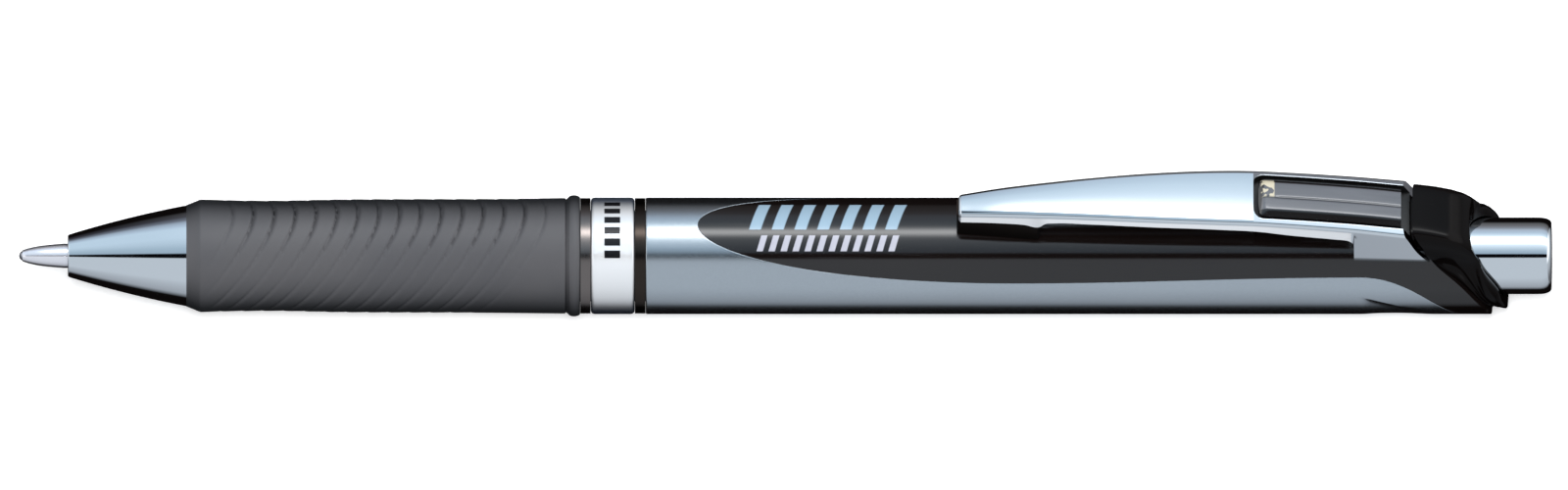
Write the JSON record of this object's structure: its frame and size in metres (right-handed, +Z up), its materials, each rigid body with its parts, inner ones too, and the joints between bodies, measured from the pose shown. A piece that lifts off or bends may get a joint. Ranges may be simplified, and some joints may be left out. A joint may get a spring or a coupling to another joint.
{
  "type": "retractable gel pen",
  "caption": "Retractable gel pen with a chrome cone and button, ridged rubber grip, silver barrel with a dark teardrop inlay, and a tapered chrome clip with a smoke insert.",
  "frame": {"origin": "under the middle of the pen's length, on the surface it lies on, below its axis", "axes": "+X along the pen from the writing tip to the button, +Z up through the clip, +Y across"},
  "size_m": [0.1446, 0.0114, 0.0166],
  "materials": {
    "plated_chrome": "bright chrome plating",
    "dark_chrome": "dark chrome plating",
    "silver_lacquer": "metallic silver lacquer on moulded plastic",
    "black_gloss": "polished black moulding",
    "grip_rubber": "matt dark grey elastomer with slanting ridges",
    "smoke_insert": "smoke-tinted polished insert",
    "point_steel": "turned stainless steel",
    "hard_metal": "ground tungsten carbide",
    "spring_steel": "drawn spring wire",
    "cam_plastic": "natural acetal",
    "inner_plastic": "black moulding",
    "refill_plastic": "translucent polypropylene",
    "ink": "black gel ink",
    "follower_grease": "clear follower grease"
  },
  "bodies": {
    "barrel": {"nose_cone": "plated_chrome", "front_barrel": "inner_plastic", "grip_sleeve": "grip_rubber", "front_trim_ring": "dark_chrome", "centre_ring": "plated_chrome", "rear_trim_ring": "dark_chrome", "rear_barrel": "silver_lacquer", "barrel_inlay": "black_gloss", "clip_base": "plated_chrome", "clip_window": "smoke_insert", "rear_cap": "black_gloss", "cam_guide": "cam_plastic", "return_spring": "spring_steel"},
    "clip": {"clip_arm": "plated_chrome", "clip_foot": "plated_chrome"},
    "knock": {"knock_button": "plated_chrome", "thrust_cam": "cam_plastic"},
    "refill": {"refill_tip": "point_steel", "tip_spring": "spring_steel", "refill_adapter": "refill_plastic", "refill_tube": "refill_plastic", "ink_column": "ink", "ink_follower": "follower_grease", "tail_plug": "inner_plastic"},
    "rotor": {"rotor_cam": "cam_plastic"},
    "ball": {"writing_ball": "hard_metal"}
  },
  "joints": [
    {"name": "button_slide", "type": "slide", "parent": "barrel", "child": "knock", "axis": [1, 0, 0], "range_m": [-0.0013, 0.005]},
    {"name": "refill_slide", "type": "slide", "parent": "barrel", "child": "refill", "axis": [1, 0, 0], "range_m": [-0.0013, 0.005], "deforming": ["return_spring"]},
    {"name": "rotor_turn", "type": "hinge", "parent": "refill", "child": "rotor", "pos_m": [0.0407, 0, 0.00572], "axis": [1, 0, 0], "range_deg": [-12, 46]},
    {"name": "clip_flex", "type": "hinge", "parent": "barrel", "child": "clip", "pos_m": [0.0387, 0, 0.0164], "axis": [0, 1, 0], "range_deg": [0, 6], "stiffness_Nm_per_rad": 0.5},
    {"name": "ball_roll", "type": "hinge", "parent": "refill", "child": "ball", "pos_m": [-0.0718, 0, 0.00572], "axis": [0, 1, 0], "continuous": true}
  ],
  "couplings": [
    {"joint": "refill_slide", "follows": "button_slide", "ratio": 1},
    {"joint": "rotor_turn", "follows": "button_slide", "rad_per_m": 157.08}
  ]
}
